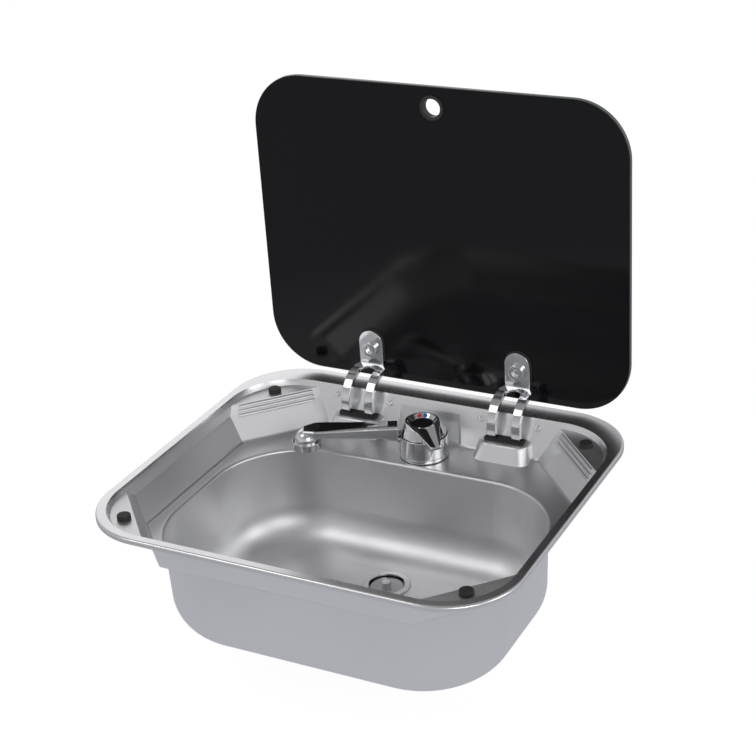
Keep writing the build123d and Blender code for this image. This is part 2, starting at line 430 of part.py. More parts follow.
TAB_Y = GLASS_Y - PAD_T - STRAP_T            # front of the tab
BEND = (TAB_Y + STRAP_T / 2, PIVOT_Z + BEND_UP)
TOP = neck_point(NECK_R, NECK_TOP)
plate_len = hypot(BEND[0] - TOP[0], BEND[1] - TOP[1])
plate_up = (0, (BEND[0] - TOP[0]) / plate_len, (BEND[1] - TOP[1]) / plate_len)
plate_out = (0, -plate_up[2], plate_up[1])
hinge_screws, cheek_w = [], HINGE_W + 2 * CHEEK_FIT + 2 * CHEEK_T
for sx, side in ((-1, "left"), (1, "right")):
    x0 = sx * HINGE_X
    neck_x = [x0 + s * (NECK_GAP + NECK_W) / 2 for s in (-1, 1)]
    arm = rod(x0, HINGE_W, 2 * BARREL_R, PIVOT_Y, PIVOT_Z)
    for x in neck_x:
        arm += strap(x, NECK_W, neck_profile())
        arm += rod(x, NECK_W, NECK_T, *TOP)
    plate_at = Location(Plane(origin=(x0, TOP[0], TOP[1]), x_dir=(1, 0, 0), z_dir=plate_out))
    flare = [(HINGE_W / 2, 0), (HINGE_W / 2, 0.55 * plate_len), (TAB_W / 2, plate_len)]
    plate = make_face(Polyline(*(flare + [(-x, y) for x, y in reversed(flare)]), close=True))
    plate -= Pos(0, -ARCH_BACK) * Circle(NECK_GAP / 2)
    arm += extrude(plate_at * plate, STRAP_T / 2, both=True)
    arm += rod(x0, TAB_W, STRAP_T, *BEND)
    on_tab = FACE * Pos(x0, 0, PAD_T)
    arm += extrude(on_tab * tab_face(BEND[1], 0), STRAP_T)
    arm -= disc(CLAMP_D, STRAP_T, on_tab * Pos(0, CLAMP_Z))
    arm -= rod(x0, HINGE_W + 2, PIN_D + 2 * PIN_FIT, PIVOT_Y, PIVOT_Z)
    keep(f"hinge_arm_{side}", arm)

    pad = extrude(FACE * Pos(x0, 0) * tab_face(BEND[1] + 5, PAD_LIP), PAD_T)
    pad += disc(BUSH_D, GLASS_T, FACE * Pos(x0, CLAMP_Z, -GLASS_T))
    pad -= disc(CLAMP_D, GLASS_T + PAD_T, FACE * Pos(x0, CLAMP_Z, -GLASS_T))
    keep(f"hinge_pad_{side}", pad)

    clamp_at = FACE * Pos(x0, CLAMP_Z)
    under_head = PAD_T + STRAP_T
    reach = under_head + GLASS_T + CAP_WASHER_T + CAP_H / 2
    screw = disc(CLAMP_HEAD_D, CLAMP_HEAD_H, clamp_at * Pos(0, 0, under_head))
    screw = fillet(screw.edges().sort_by(Axis.Y)[0], 0.8)
    screw += disc(CLAMP_D, reach, clamp_at * Pos(0, 0, under_head - reach))
    socket = Pos(0, 0, under_head + CLAMP_HEAD_H - CLAMP_SOCKET_H) * RegularPolygon(
        CLAMP_SOCKET_AF / 2, 6, major_radius=False)
    screw -= extrude(clamp_at * socket, CLAMP_HEAD_H)
    keep(f"clamp_screw_{side}", screw)
    keep(f"cap_washer_{side}",
         ring(CAP_D - 2, BUSH_D, CAP_WASHER_T, clamp_at * Pos(0, 0, -GLASS_T - CAP_WASHER_T)))
    cap = disc(CAP_D, CAP_H, clamp_at * Pos(0, 0, -GLASS_T - CAP_WASHER_T - CAP_H))
    cap = fillet(cap.edges().sort_by(Axis.Y)[-1], 1.6)
    cap -= disc(CLAMP_D, CAP_H / 2, clamp_at * Pos(0, 0, -GLASS_T - CAP_WASHER_T - CAP_H / 2))
    keep(f"clamp_cap_{side}", cap)

    # bracket on the back of the rear wall, with the pin that the barrel turns on
    pin = rod(x0, cheek_w, PIN_D, PIVOT_Y, PIVOT_Z)
    for s in (-1, 1):
        pin += rod(x0 + s * (cheek_w + RIVET_T) / 2, RIVET_T, RIVET_D, PIVOT_Y, PIVOT_Z)
    keep(f"hinge_pin_{side}", pin)
    behind = on_rear_wall(x0, SCREW_DOWN, SHEET)
    bracket = behind * Box(PLATE_L, PLATE_H, PLATE_T, align=(Align.CENTER, Align.CENTER, Align.MIN))
    head, foot = SCREW_DOWN - PLATE_H / 2, SCREW_DOWN + PLATE_H / 2
    low = SHEET - WALL_TO_PIVOT
    cheek = Circle(BARREL_R) + make_face(Polyline(
        (BARREL_R, 0), (foot, low + PLATE_T), (foot, low), (head, low), (head, low + PLATE_T),
        (-BARREL_R, 0), close=True))
    for s in (-1, 1):
        x = x0 + s * (HINGE_W / 2 + CHEEK_FIT + CHEEK_T / 2)
        at = Location(Plane(origin=(x - CHEEK_T / 2, PIVOT_Y, PIVOT_Z),
                            x_dir=(0, -REAR_RUN * REAR_COS, -REAR_COS), z_dir=(1, 0, 0)))
        bracket += extrude(at * cheek, CHEEK_T)
        at = on_rear_wall(x0 + s * SCREW_SPAN / 2, SCREW_DOWN, 0)
        bracket -= disc(SCREW_D, 3 * PLATE_T, at)
        screw = disc(SCREW_HEAD_D, SCREW_HEAD_H, at * Pos(0, 0, -SCREW_HEAD_H))
        screw += disc(SCREW_D, SHEET + PLATE_T, at)
        for turn in (0, 90):
            screw -= at * Pos(0, 0, -SCREW_HEAD_H) * Rot(0, 0, turn) * Box(
                0.6 * SCREW_HEAD_D, 1.1, SCREW_HEAD_H)
        hinge_screws.append(screw)
    bracket -= rod(x0, cheek_w + 2, PIN_D, PIVOT_Y, PIVOT_Z)
    keep(f"hinge_bracket_{side}", bracket)

    # rubber gasket in the slot, with a window for each neck
    slot_at = Pos(x0, SLOT_MID, POD_TOP_Z)
    gasket = slot_at * Box(SLOT_L, SLOT_W, SHEET, align=(Align.CENTER, Align.CENTER, Align.MAX))
    lip = rounded(SLOT_L + 2 * GASKET_LIP, LIP[1] - LIP[0], 2.5, POD_TOP_Z, x0, sum(LIP) / 2)
    gasket += extrude(lip, GASKET_T)
    for x in neck_x:
        gasket -= Pos(x, sum(WINDOW) / 2, POD_TOP_Z) * Box(
            NECK_W + 2 * WINDOW_FIT, WINDOW[1] - WINDOW[0], 4 * GASKET_T)
    keep(f"slot_gasket_{side}", gasket)
keep("hinge_screws", Compound(children=hinge_screws))

# ---------------------------------------------------------------- mixer tap
BASE_Z = TRAY_Z + TAP_GASKET_T + TAP_BASE_H      # top of the base collar
POCKET_Z = CORE_TOP_Z - CARTRIDGE_H
SHANK_BOTTOM = TRAY_Z - SHANK_LEN
SLEEVE_BORE = CORE_D + 2 * SWIVEL_FIT
SPOUT_AT = TAP_AT * Rot(0, 0, SPOUT_DIR)         # local x runs along the spout
SPOUT_ROOT_Z = SPOUT_TOP_Z - SPOUT_ROOT[1]
BORE_Z = TAP_TOP_Z - 3.5                         # waterway at the swivel
ORINGS = [BASE_Z + 2.2 * ORING_T, BORE_Z - 1.2 * ORING_T - SPOUT_BORE / 2]

keep("tap_gasket", ring(TAP_D - 1, SHANK_D + 1, TAP_GASKET_T, TAP_AT * Pos(0, 0, TRAY_Z)))
body = disc(TAP_D, TAP_BASE_H, TAP_AT * Pos(0, 0, BASE_Z - TAP_BASE_H))
body += disc(CORE_D, CORE_TOP_Z - BASE_Z, TAP_AT * Pos(0, 0, BASE_Z))
body += disc(SHANK_D, BASE_Z - SHANK_BOTTOM, TAP_AT * Pos(0, 0, SHANK_BOTTOM))
body -= disc(CARTRIDGE_D, CARTRIDGE_H, TAP_AT * Pos(0, 0, POCKET_Z))
for s in (-1, 1):
    at = TAP_AT * Pos(s * TAIL_SPREAD / 2, 0, SHANK_BOTTOM)
    body -= disc(TAIL_END_D, TAIL_IN, at)
    body -= disc(TAIL_BORE, POCKET_Z - SHANK_BOTTOM, at)
for z in ORINGS:
    groove = ring(CORE_D + 2, CORE_D + 2 * (SWIVEL_FIT - ORING_T - ORING_FIT), ORING_T * 1.15,
                  TAP_AT * Pos(0, 0, z - ORING_T * 0.575))
    body -= groove
body -= (SPOUT_AT * Pos(CORE_D / 2, 0, BORE_Z) * Rot(0, 90, 0)
         * Cylinder(SPOUT_BORE / 2, CORE_D / 2))
keep("tap_body", body)
major = CORE_D / 2 + SWIVEL_FIT - ORING_FIT - ORING_T / 2
keep("tap_orings", Compound(children=[
    TAP_AT * Pos(0, 0, z) * Torus(major, ORING_T / 2) for z in ORINGS]))
under = TRAY_Z - SHEET
nut_top = under - TAP_WASHER_T
keep("tap_washer", ring(TAP_WASHER_D, SHANK_D, TAP_WASHER_T, TAP_AT * Pos(0, 0, nut_top)))
nut = TAP_AT * Pos(0, 0, nut_top) * RegularPolygon(TAP_NUT_D / 2, 6, major_radius=False)
nut = extrude(nut, -TAP_NUT_H)
nut -= TAP_AT * Pos(0, 0, under) * Cylinder(SHANK_D / 2, 4 * TAP_NUT_H)
keep("tap_nut", nut)
for s, name in ((-1, "hot"), (1, "cold")):
    at = TAP_AT * Pos(s * TAIL_SPREAD / 2, 0, SHANK_BOTTOM)
    tail = ring(TAIL_D, TAIL_BORE, TAIL_LEN - TAIL_IN, at * Pos(0, 0, TAIL_IN - TAIL_LEN))
    keep(f"inlet_tail_{name}", tail + ring(TAIL_END_D, TAIL_BORE, TAIL_IN, at))

stem = CORE_TOP_Z - SPINDLE_DEEP
cartridge = disc(CARTRIDGE_D, CARTRIDGE_H, TAP_AT * Pos(0, 0, POCKET_Z))
cartridge -= disc(SPINDLE_D + 2 * SPINDLE_FIT, SPINDLE_DEEP, TAP_AT * Pos(0, 0, stem))
keep("cartridge", cartridge)
keep("cartridge_ring",
     ring(CORE_D - 2, SPINDLE_D + 3, CARTRIDGE_RING_T, TAP_AT * Pos(0, 0, CORE_TOP_Z)))

# spout: a sleeve that turns on the core, the arm and the nozzle ball
arm_from = TAP_D / 2 + SPOUT_OFF


def across(x, size, top, r):
    """Rounded section of the arm at distance x from the tap axis."""
    return SPOUT_AT * Pos(x, 0, top - size[1] / 2) * Rot(0, 90, 0) * RectangleRounded(size[1], size[0], r)


def way(start, end):
    """Straight waterway between two points (x, z) of the arm's side view."""
    run, rise = end[0] - start[0], end[1] - start[1]
    return (SPOUT_AT * Pos(start[0], 0, start[1]) * Rot(0, 90 - degrees(atan2(rise, run)), 0)
            * Cylinder(SPOUT_BORE / 2, hypot(run, rise), align=(Align.CENTER, Align.CENTER, Align.MIN)))


sleeve_z = BASE_Z + LEVER_GAP / 4
spout = disc(TAP_D, TAP_TOP_Z - sleeve_z, TAP_AT * Pos(0, 0, sleeve_z))
spout = fillet(spout.edges().sort_by(Axis.Z)[-1], 0.6)
root_h = TAP_TOP_Z - SPOUT_ROOT_Z - 0.6
spout += extrude(across(CORE_D / 2 + 1, (SPOUT_ROOT[0], root_h), TAP_TOP_Z - 0.6, 1.5),
                 arm_from - CORE_D / 2, dir=SPOUT_AT.x_axis.direction)
wide_at, nose_at = SPOUT_REACH - SPOUT_WIDE_IN, SPOUT_REACH + SPOUT_NOSE_OUT
sections = [across(arm_from, SPOUT_ROOT, SPOUT_TOP_Z, SPOUT_R),
            across(SPOUT_MID_AT, SPOUT_MID, SPOUT_TOP_Z, SPOUT_R),
            across(wide_at, SPOUT_WIDE, SPOUT_TOP_Z, SPOUT_WIDE_R),
            across(nose_at, SPOUT_NOSE, SPOUT_TOP_Z - 1, SPOUT_NOSE[1] / 2.5)]
for near, far in zip(sections, sections[1:]):
    spout += loft([near, far])
ball = SPOUT_AT * Pos(SPOUT_REACH, 0, NOZZLE_Z) * Sphere(NOZZLE_D / 2)
spout += split(ball, Plane.XY.offset(NOZZLE_CUT_Z), keep=Keep.TOP)
spout -= TAP_AT * Cylinder(SLEEVE_BORE / 2, 200)
spout -= way((CORE_D / 2, BORE_Z), (SPOUT_MID_AT, WAY_Z)) + way((SPOUT_MID_AT, WAY_Z), (SPOUT_REACH, WAY_Z))
spout -= SPOUT_AT * Pos(SPOUT_MID_AT, 0, WAY_Z) * Sphere(SPOUT_BORE / 2)
nozzle_at = SPOUT_AT * Pos(SPOUT_REACH, 0, NOZZLE_CUT_Z)
spout -= disc(NOZZLE_BORE, WAY_Z - NOZZLE_CUT_Z, nozzle_at)
spout -= disc(AERATOR_NECK_D, AERATOR_NECK_H, nozzle_at)
leaf_end, leaf_mid = SPOUT_REACH - LEAF_END, LEAF_FROM + 0.42 * (SPOUT_REACH - LEAF_END - LEAF_FROM)
leaf = make_face([
    ThreePointArc((LEAF_FROM, 0), (leaf_mid, -0.335 * LEAF_W), (leaf_end, -LEAF_W / 2)),
    ThreePointArc((leaf_end, -LEAF_W / 2), (leaf_end - 4, 0), (leaf_end, LEAF_W / 2)),
    ThreePointArc((leaf_end, LEAF_W / 2), (leaf_mid, 0.335 * LEAF_W), (LEAF_FROM, 0))])
leaf = extrude(SPOUT_AT * Pos(0, 0, SPOUT_TOP_Z - INLAY_T) * leaf, 2 * INLAY_T)
keep("spout", spout - leaf)
keep("spout_inlay", split(leaf, Plane.XY.offset(SPOUT_TOP_Z + INLAY_T / 3), keep=Keep.BOTTOM))
aerator_h = NOZZLE_CUT_Z - AERATOR_BOTTOM_Z
aerator = disc(AERATOR_D, aerator_h, nozzle_at * Pos(0, 0, -aerator_h))
aerator = chamfer(aerator.edges().sort_by(Axis.Z)[0], 0.8)
aerator += disc(AERATOR_NECK_D, AERATOR_NECK_H, nozzle_at)
for r, n in ((0, 1), (3.6, 6), (7.2, 12)):
    for i in range(n):
        at = nozzle_at * Rot(0, 0, 360 * i / n) * Pos(r, 0, 0)
        aerator -= at * Cylinder(1.1, 60)
keep("aerator", aerator)

# lever: turns with the spindle, and lifts on a cross pin in the yoke
LEVER_AT = TAP_AT * Rot(0, 0, LEVER_DIR)         # local x points to the lever's tip
LEVER_Z = TAP_TOP_Z + LEVER_GAP
YOKE_Z = CORE_TOP_Z + CARTRIDGE_RING_T + LEVER_GAP


def side_view(shape, w):
    """Extrude an (x, z) outline of the lever to the width w about its middle."""
    plane = Location(Plane(origin=(0, 0, 0), x_dir=(1, 0, 0), z_dir=(0, -1, 0)))
    return LEVER_AT * extrude(plane * shape, w / 2, both=True)


pin_at = Pos(-LEVER_PIN_BACK, LEVER_PIN_Z)
keep("lever_spindle", disc(SPINDLE_D, YOKE_TOP_Z - 1 - stem, TAP_AT * Pos(0, 0, stem)))


def yoke_outline(grow):
    r = YOKE_R + grow
    box = make_face(Polyline(
        (-LEVER_PIN_BACK, YOKE_Z - 2 * grow), (YOKE_FRONT + 4 * grow, YOKE_Z - 2 * grow),
        (YOKE_FRONT + 4 * grow, YOKE_TOP_Z + grow), (-LEVER_PIN_BACK, YOKE_TOP_Z + grow),
        close=True))
    return box + pin_at * Circle(r)


yoke = side_view(yoke_outline(0), YOKE_W)
yoke -= disc(SPINDLE_D, 40, TAP_AT * Pos(0, 0, YOKE_TOP_Z - 41))
yoke -= side_view(pin_at * Circle(LEVER_PIN_D / 2), 2 * YOKE_W)
keep("lever_yoke", yoke)
keep("lever_pin", side_view(pin_at * Circle(LEVER_PIN_D / 2 - SPINDLE_FIT), LEVER_PIN_L))

crown = loft([LEVER_AT * Pos(0, 0, LEVER_Z) * Circle(LEVER_BASE_D / 2),
              LEVER_AT * Pos(-LEVER_LEAN, 0, LEVER_TOP_Z) * Circle(LEVER_TOP_D / 2)])
crown = fillet(crown.edges().sort_by(Axis.Z)[-1], 0.8)
drop_x = TAP_D / 2 + 2 * LEVER_GAP
face_run = (LEVER_TIP_TOP_Z - LEVER_FACE_Z) / (LEVER_REACH - 1 - LEVER_FACE_X)


def face_z(x):
    """Height of the slanted front face at distance x from the tap axis."""
    return LEVER_FACE_Z + (x - LEVER_FACE_X) * face_run


crown -= side_view(make_face(Polyline(
    (LEVER_FACE_X, LEVER_FACE_Z), (LEVER_BASE_D, face_z(LEVER_BASE_D)), (LEVER_BASE_D, 5),
    (LEVER_FACE_X, 5), close=True)), 2 * LEVER_BASE_D)
tongue = side_view(make_face(Polyline(
    (0, face_z(6)), (6, face_z(6)), (LEVER_REACH - 1, LEVER_TIP_TOP_Z),
    (LEVER_REACH, LEVER_TIP_TOP_Z - 1.5), (LEVER_REACH - 2, LEVER_TIP_Z), (drop_x + 2, LEVER_TIP_Z),
    (drop_x, LEVER_Z - 1.5), (drop_x, LEVER_Z), (0, LEVER_Z), close=True)), LEVER_BASE_D)
wedge = make_face(Polyline(
    (0, -LEVER_TOP_D / 2 + 1), (LEVER_REACH + 1, -LEVER_TIP_W / 2),
    (LEVER_REACH + 1, LEVER_TIP_W / 2), (0, LEVER_TOP_D / 2 - 1), close=True))
tongue &= extrude(LEVER_AT * Pos(0, 0, LEVER_TIP_Z - 1) * wedge, LEVER_FACE_Z - LEVER_TIP_Z + 2)
lever = crown + tongue
clear = tan(radians(LEVER_LIFT + 2))
back = LEVER_BASE_D
lever -= side_view(make_face(Polyline(
    (-LEVER_PIN_BACK, LEVER_Z), (-back, LEVER_Z + (back - LEVER_PIN_BACK) * clear),
    (-back, LEVER_Z - 9), (-LEVER_PIN_BACK, LEVER_Z - 9), close=True)), 2 * back)
lever -= side_view(yoke_outline(YOKE_FIT), YOKE_W + 2 * YOKE_FIT)
lever -= side_view(pin_at * Circle(LEVER_PIN_D / 2), LEVER_PIN_L + 2 * YOKE_FIT)
lever -= (LEVER_AT * Pos(-LEVER_PIN_BACK, LEVER_BASE_D / 4, LEVER_PIN_Z) * Rot(90, 0, 0)
          * Cylinder(LEVER_PIN_D / 2, LEVER_BASE_D / 2))       # the pin goes in from this side
crown_at = LEVER_AT * Pos(-LEVER_LEAN, 0, LEVER_TOP_Z)
lever -= loft([crown_at * Pos(0, 0, -LEVER_HOLLOW_H) * Circle(LEVER_DISC_D / 2 + 0.3),
               crown_at * Circle(LEVER_HOLLOW_D / 2)])


def groove_at(x, w, h):
    """Section of the V groove across the slanted face at distance x."""
    top = Polyline((-0.7 * w, 0.4 * h), (0, -h), (0.7 * w, 0.4 * h), close=True)
    plane = Location(Plane(origin=(x, 0, face_z(x)), x_dir=(0, 1, 0), z_dir=(1, 0, 0)))
    return LEVER_AT * plane * make_face(top)


lever -= loft([groove_at(LEVER_DISC_D / 2 - LEVER_LEAN, GROOVE_W, GROOVE_H),
               groove_at(LEVER_REACH + 2, GROOVE_TIP_W, GROOVE_TIP_H)], ruled=True)
inlay = disc(LEVER_DISC_D, INLAY_T, crown_at * Pos(0, 0, -LEVER_HOLLOW_H - INLAY_T))
lever -= inlay
flank = atan2(LEVER_HOLLOW_H, (LEVER_HOLLOW_D - LEVER_DISC_D) / 2)      # slope of the hollow's side
for name, turn in (("hot", 169), ("cold", 145)):
    mark = disc(MARK_D, MARK_T, crown_at * Rot(0, 0, turn) * Pos(MARK_AT, 0, -LEVER_HOLLOW_H / 2)
                * Rot(0, -degrees(flank), 0) * Pos(0, 0, -0.6 * MARK_T))
    lever -= mark
    keep(f"{name}_mark", mark)
keep("control_lever", lever)
keep("lever_inlay", inlay)

# ---------------------------------------------------------------- waste
FLOOR = DRAIN_AT * Pos(0, 0, BOWL_FLOOR_Z)
waste = disc(WASTE_D, WASTE_T, FLOOR)
waste = fillet(waste.edges().sort_by(Axis.Z)[-1], 0.9)
waste += disc(CUP_OUT, CUP_DEPTH, FLOOR * Pos(0, 0, -CUP_DEPTH))
waste -= disc(CUP_D, 50, FLOOR * Pos(0, 0, CUP_T - CUP_DEPTH))
waste += ring(CUP_D, SEAT_BORE, SEAT_T, FLOOR * Pos(0, 0, -SEAT_DEPTH - SEAT_T))
waste -= disc(DRAIN_SCREW_D, 2 * CUP_T, FLOOR * Pos(0, 0, -CUP_DEPTH - CUP_T / 2))
slot_from, slot_to = DRAIN_SCREW_HEAD_D / 2 + 1, CUP_D / 2 - 2
for i in range(STRAINER_SLOTS):
    at = FLOOR * Rot(0, 0, 360 * (i + 0.5) / STRAINER_SLOTS)
    at = at * Pos((slot_from + slot_to) / 2, 0, -CUP_DEPTH)
    waste -= at * Box(slot_to - slot_from, STRAINER_SLOT_W, 4 * CUP_T)
keep("waste_flange", waste)
keep("waste_gasket", ring(TRAP_RIM_D - 2, CUP_OUT, WASTE_GASKET_T,
                          FLOOR * Pos(0, 0, -SHEET - WASTE_GASKET_T)))
trap_top = -SHEET - WASTE_GASKET_T
trap_in = CUP_OUT + 2 * TRAP_GAP
trap_out = trap_in + 2 * TRAP_T
trap = disc(TRAP_RIM_D, TRAP_RIM_H, FLOOR * Pos(0, 0, trap_top - TRAP_RIM_H))
trap += disc(trap_out, TRAP_DEPTH, FLOOR * Pos(0, 0, trap_top - TRAP_DEPTH))
trap -= disc(trap_in, TRAP_DEPTH - TRAP_T, FLOOR * Pos(0, 0, trap_top - TRAP_DEPTH + TRAP_T))
under_trap = FLOOR * Pos(0, 0, trap_top - TRAP_DEPTH)
trap -= disc(SPIGOT_NECK_D, 2 * TRAP_T, under_trap * Pos(0, 0, -TRAP_T / 2))
spigot = ring(SPIGOT_D, SPIGOT_BORE, SPIGOT_LEN, under_trap * Pos(0, 0, -SPIGOT_LEN))
keep("waste_spigot", spigot + ring(SPIGOT_NECK_D, SPIGOT_BORE, TRAP_T, under_trap))
web_top = -CUP_DEPTH
web = disc(DRAIN_SCREW_D + 5, WEB_H, FLOOR * Pos(0, 0, web_top - WEB_H))
for turn in (0, 60, 120):
    web += FLOOR * Rot(0, 0, turn) * Pos(0, 0, web_top - WEB_H / 2) * Box(trap_in + 1, WEB_W, WEB_H)
trap += web - disc(DRAIN_SCREW_D, 40, FLOOR * Pos(0, 0, web_top - 39))
keep("waste_body", trap)
screw = disc(DRAIN_SCREW_HEAD_D, DRAIN_SCREW_HEAD_H, FLOOR * Pos(0, 0, CUP_T - CUP_DEPTH))
screw += disc(DRAIN_SCREW_D, CUP_T + WEB_H, FLOOR * Pos(0, 0, -CUP_DEPTH - WEB_H))
screw -= FLOOR * Pos(0, 0, CUP_T - CUP_DEPTH + DRAIN_SCREW_HEAD_H) * Box(
    0.8 * DRAIN_SCREW_HEAD_D, 1.2, DRAIN_SCREW_HEAD_H)
keep("drain_screw", screw)
SEAL_AT = FLOOR * Pos(0, 0, -SEAT_DEPTH)
keep("plug_seal", ring(PLUG_D + 1, PLUG_D - 8, PLUG_SEAL_T, SEAL_AT))
plug = disc(PLUG_D, PLUG_T, SEAL_AT * Pos(0, 0, PLUG_SEAL_T))
plug = fillet(plug.edges().sort_by(Axis.Z)[-1], 0.6)
plug += disc(PLUG_D - 8, PLUG_SEAL_T, SEAL_AT)
keep("drain_plug", plug)
knob = disc(PLUG_KNOB_D, PLUG_KNOB_H, SEAL_AT * Pos(0, 0, PLUG_SEAL_T + PLUG_T))
keep("plug_knob", fillet(knob.edges().sort_by(Axis.Z)[-1], 1.5))

# ---------------------------------------------------------------- write the pieces
os.makedirs("parts", exist_ok=True)
for name, shape in NODES.items():
    export_step(shape, f"parts/{name}.step")
    print(f"{name:24s} solids {len(shape.solids())}  volume {shape.volume:10.1f}")
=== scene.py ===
"""Looks of the caravan sink with a glass lid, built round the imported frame.  Metres, +Z up."""
from math import cos, radians, sin

import bpy
from mathutils import Matrix, Vector


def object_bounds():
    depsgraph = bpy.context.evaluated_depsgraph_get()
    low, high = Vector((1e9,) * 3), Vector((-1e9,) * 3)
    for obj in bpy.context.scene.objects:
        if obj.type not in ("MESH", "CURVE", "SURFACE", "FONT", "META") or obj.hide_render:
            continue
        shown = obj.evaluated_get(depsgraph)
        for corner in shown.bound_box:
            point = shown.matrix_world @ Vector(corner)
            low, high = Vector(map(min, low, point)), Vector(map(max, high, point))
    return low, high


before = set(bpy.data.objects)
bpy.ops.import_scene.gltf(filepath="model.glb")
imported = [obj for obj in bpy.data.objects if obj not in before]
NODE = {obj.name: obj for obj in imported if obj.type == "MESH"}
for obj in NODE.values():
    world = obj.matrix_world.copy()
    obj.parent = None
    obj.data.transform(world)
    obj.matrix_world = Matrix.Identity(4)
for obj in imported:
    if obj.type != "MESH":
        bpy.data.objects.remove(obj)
CAD_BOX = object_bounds()

# ---------------------------------------------------------------- camera
CAM_AZIMUTH, CAM_ELEVATION, CAM_ROLL = 28.54, 25.71, -3.82      # degrees
CAM_AT = Vector((0.70765, -1.26212, 0.79321))
CAM_FOCAL, FRAME_SIDE, SENSOR = 1762.04, 756.0, 36.0            # pixels, pixels, mm
CLIP_NEAR, CLIP_FAR = 0.05, 30

azimuth, elevation, roll = (radians(v) for v in (CAM_AZIMUTH, CAM_ELEVATION, CAM_ROLL))
back = Vector((sin(azimuth) * cos(elevation), -cos(azimuth) * cos(elevation), sin(elevation)))
right = Vector((cos(azimuth), sin(azimuth), 0))
up = back.cross(right)
right, up = right * cos(roll) + up * sin(roll), up * cos(roll) - right * sin(roll)
camera = bpy.data.objects.new("camera", bpy.data.cameras.new("camera"))
camera.data.sensor_width = SENSOR
camera.data.lens = CAM_FOCAL * SENSOR / FRAME_SIDE
camera.data.clip_start, camera.data.clip_end = CLIP_NEAR, CLIP_FAR
turn = Matrix((right, up, back)).transposed().to_4x4()
camera.matrix_world = Matrix.Translation(CAM_AT) @ turn
bpy.context.collection.objects.link(camera)
bpy.context.scene.camera = camera
bpy.context.scene.view_settings.view_transform = "Standard"


# ---------------------------------------------------------------- nodes
def add(tree, kind, **values):
    """A new node with the given settings."""
    made = tree.nodes.new(kind)
    for key, value in values.items():
        setattr(made, key, value)
    return made


def feed(tree, socket, value):
    """Give an input a number, or link it to an output."""
    if isinstance(value, float):
        socket.default_value = value
    else:
        tree.links.new(value, socket)


def ramp(tree, fac, low, high, low_in, high_in):
    """low up to fac = low_in, high from high_in on, even between them."""
    made = add(tree, "ShaderNodeMapRange")
    limits = {"From Min": low_in, "From Max": high_in, "To Min": low, "To Max": high}
    for key, value in limits.items():
        made.inputs[key].default_value = value
    tree.links.new(fac, made.inputs["Value"])
    return made.outputs["Result"]


def compute(tree, operation, *values):
    """A Math node on one or two outputs."""
    made = add(tree, "ShaderNodeMath", operation=operation)
    for value, socket in zip(values, made.inputs):
        tree.links.new(value, socket)
    return made.outputs["Value"]


def along(tree, vector, axis):
    """A vector's X, Y or Z."""
    made = add(tree, "ShaderNodeSeparateXYZ")
    tree.links.new(vector, made.inputs["Vector"])
    return made.outputs[axis]


# ---------------------------------------------------------------- materials
NOISE_SPAN = (0.3, 0.7)                 # where most of a noise's values lie
NOISE_ROUGHNESS = 0.55
GRAIN_DEPTH = 0.0002
# scale per metre and detail of each noise
STEEL_GLOSS, STEEL_TINT, STEEL_GRAIN = (14, 4), (9, 3), (900, 2)
CHROME_GLOSS, CHROME_GRAIN = (60, 3), (220, 2)
PLASTIC_GLOSS, PLASTIC_TINT, PLASTIC_GRAIN_DETAIL = (120, 3), (70, 3), 2
GLASS_GLOSS = (5, 2)
STEEL_DARKER = 0.94                     # the darkest tint over the palest
STEEL_BUMP, CHROME_BUMP = 0.03, 0.02
CHROME_GLOSS_RANGE = 0.03               # the most roughness less the least
CHROME_EDGE, EDGE_SAMPLES = 0.0012, 6   # radius of a plated edge
RIM_FADE = (-0.0035, -0.001)            # heights, from the recess wall to the flat rim
GLASS_BLACK, GLASS_EDGE = (0.003, 0.003, 0.004), (0.09, 0.1, 0.1)
GLASS_EDGE_SPAN = (0.80, 0.86)          # the normal's Y, from ground edge to face


class Paint:
    """A node material round one Principled shader.

    Its plain colour and roughness stay on their sockets, behind any link made to them."""

    def __init__(self, name, color, rough, metal=0.0, **fixed):
        self.mat = bpy.data.materials.new(name)
        self.mat.use_nodes = True
        self.tree = self.mat.node_tree
        self.bsdf = self.tree.nodes["Principled BSDF"]
        self.bsdf.inputs["Base Color"].default_value = (*color, 1)
        self.bsdf.inputs["Roughness"].default_value = rough
        self.bsdf.inputs["Metallic"].default_value = metal
        for key, value in fixed.items():
            self.bsdf.inputs[key.replace("_", " ")].default_value = value
        self.coord = add(self.tree, "ShaderNodeTexCoord")

    def noise(self, scale, detail):
        """Noise in object space, 0 to 1."""
        tex = add(self.tree, "ShaderNodeTexNoise")
        tex.inputs["Scale"].default_value = scale
        tex.inputs["Detail"].default_value = detail
        tex.inputs["Roughness"].default_value = NOISE_ROUGHNESS
        self.tree.links.new(self.coord.outputs["Object"], tex.inputs["Vector"])
        return tex.outputs["Fac"]

    def spread(self, noise, low, high):
        """Noise mapped to low..high."""
        return ramp(self.tree, noise, low, high, *NOISE_SPAN)

    def rough(self, value):
        self.tree.links.new(value, self.bsdf.inputs["Roughness"])

    def color(self, fac, one, two):
        mix = add(self.tree, "ShaderNodeMix", data_type="RGBA")
        mix.inputs["A"].default_value = (*one, 1)
        mix.inputs["B"].default_value = (*two, 1)
        self.tree.links.new(fac, mix.inputs["Factor"])
        self.tree.links.new(mix.outputs["Result"], self.bsdf.inputs["Base Color"])

    def bump(self, noise, strength, normal=None):
        made = add(self.tree, "ShaderNodeBump")
        made.inputs["Strength"].default_value = strength
        made.inputs["Distance"].default_value = GRAIN_DEPTH
        self.tree.links.new(noise, made.inputs["Height"])
        if normal is not None:
            self.tree.links.new(normal, made.inputs["Normal"])
        self.tree.links.new(made.outputs["Normal"], self.bsdf.inputs["Normal"])


